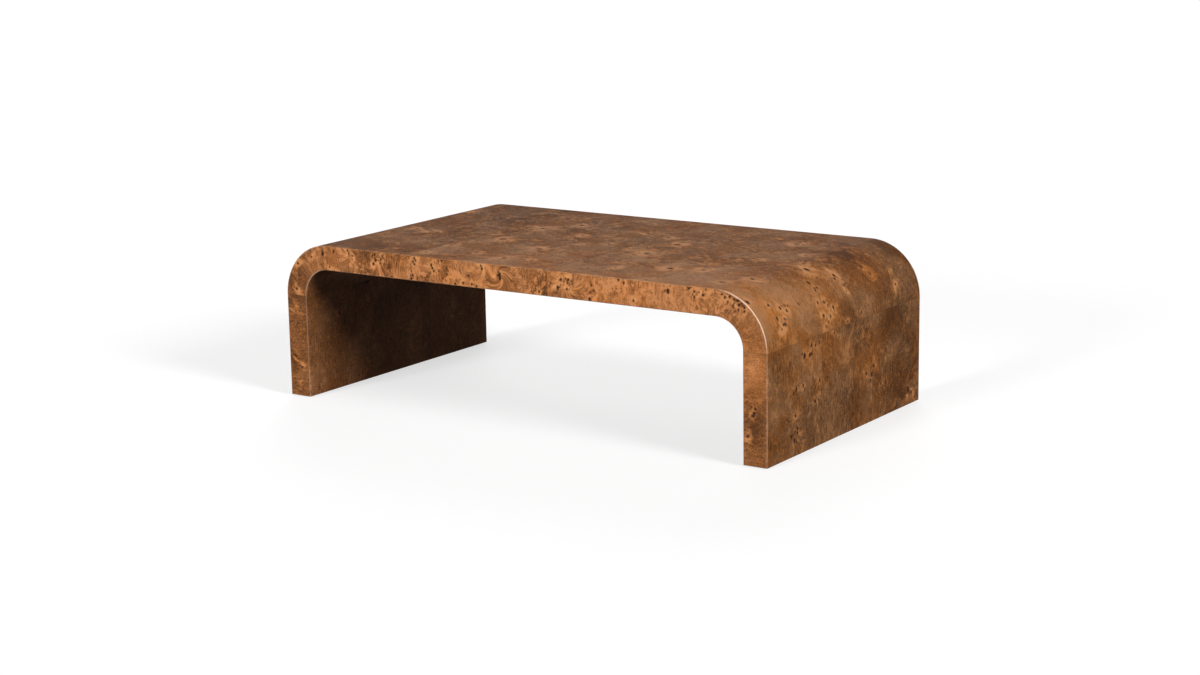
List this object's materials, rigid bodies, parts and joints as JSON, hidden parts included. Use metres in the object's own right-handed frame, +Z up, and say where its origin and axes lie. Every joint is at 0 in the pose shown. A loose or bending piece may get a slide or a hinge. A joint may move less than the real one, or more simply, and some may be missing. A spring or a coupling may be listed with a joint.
{
  "type": "waterfall coffee table",
  "caption": "Low coffee table: a burl-veneered slab top that bends down through rounded corners into two slab legs on recessed levelling feet.",
  "frame": {"origin": "on the floor under the middle of the table", "axes": "+X along the length, -Y towards the front edge, +Z up"},
  "size_m": [1.35, 0.72, 0.384],
  "materials": {
    "burl_veneer": "stained burl veneer under satin lacquer",
    "panel_board": "raw fibreboard",
    "bent_plywood": "raw bending plywood",
    "former_plywood": "raw birch plywood",
    "frame_timber": "planed poplar",
    "beech_tenon": "planed beech",
    "insert_brass": "turned brass",
    "zinc_steel": "zinc plated",
    "foot_nylon": "moulded black nylon"
  },
  "bodies": {
    "table": {"back_edge_veneer": "burl_veneer", "back_left_leveller_insert": "insert_brass", "back_right_leveller_insert": "insert_brass", "front_edge_veneer": "burl_veneer", "front_left_leveller_insert": "insert_brass", "front_right_leveller_insert": "insert_brass", "left_bend_back_former": "former_plywood", "left_bend_front_former": "former_plywood", "left_bend_inner_formers": "former_plywood", "left_bend_inner_shell": "bent_plywood", "left_bend_inner_veneer": "burl_veneer", "left_bend_outer_shell": "bent_plywood", "left_bend_outer_veneer": "burl_veneer", "left_leg_back_stile": "frame_timber", "left_leg_front_stile": "frame_timber", "left_leg_inner_skin": "panel_board", "left_leg_inner_veneer": "burl_veneer", "left_leg_outer_skin": "panel_board", "left_leg_outer_veneer": "burl_veneer", "left_leg_ribs": "frame_timber", "left_leg_sole_rail": "frame_timber", "left_leg_tenons": "beech_tenon", "left_leg_top_rail": "frame_timber", "left_top_tenons": "beech_tenon", "right_bend_back_former": "former_plywood", "right_bend_front_former": "former_plywood", "right_bend_inner_formers": "former_plywood", "right_bend_inner_shell": "bent_plywood", "right_bend_inner_veneer": "burl_veneer", "right_bend_outer_shell": "bent_plywood", "right_bend_outer_veneer": "burl_veneer", "right_leg_back_stile": "frame_timber", "right_leg_front_stile": "frame_timber", "right_leg_inner_skin": "panel_board", "right_leg_inner_veneer": "burl_veneer", "right_leg_outer_skin": "panel_board", "right_leg_outer_veneer": "burl_veneer", "right_leg_ribs": "frame_timber", "right_leg_sole_rail": "frame_timber", "right_leg_tenons": "beech_tenon", "right_leg_top_rail": "frame_timber", "right_top_tenons": "beech_tenon", "top_back_rail": "frame_timber", "top_front_rail": "frame_timber", "top_left_end_rail": "frame_timber", "top_lower_skin": "panel_board", "top_ribs": "frame_timber", "top_right_end_rail": "frame_timber", "top_upper_skin": "panel_board", "top_veneer": "burl_veneer", "underside_veneer": "burl_veneer"},
    "front_left_leveller": {"front_left_leveller_stud": "zinc_steel", "front_left_leveller_foot": "foot_nylon"},
    "front_right_leveller": {"front_right_leveller_stud": "zinc_steel", "front_right_leveller_foot": "foot_nylon"},
    "back_left_leveller": {"back_left_leveller_stud": "zinc_steel", "back_left_leveller_foot": "foot_nylon"},
    "back_right_leveller": {"back_right_leveller_stud": "zinc_steel", "back_right_leveller_foot": "foot_nylon"}
  },
  "joints": [
    {"name": "front_left_leveller_screw", "type": "slide", "parent": "table", "child": "front_left_leveller", "axis": [0, 0, -1], "range_m": [0, 0.01]},
    {"name": "front_right_leveller_screw", "type": "slide", "parent": "table", "child": "front_right_leveller", "axis": [0, 0, -1], "range_m": [0, 0.01]},
    {"name": "back_left_leveller_screw", "type": "slide", "parent": "table", "child": "back_left_leveller", "axis": [0, 0, -1], "range_m": [0, 0.01]},
    {"name": "back_right_leveller_screw", "type": "slide", "parent": "table", "child": "back_right_leveller", "axis": [0, 0, -1], "range_m": [0, 0.01]}
  ]
}
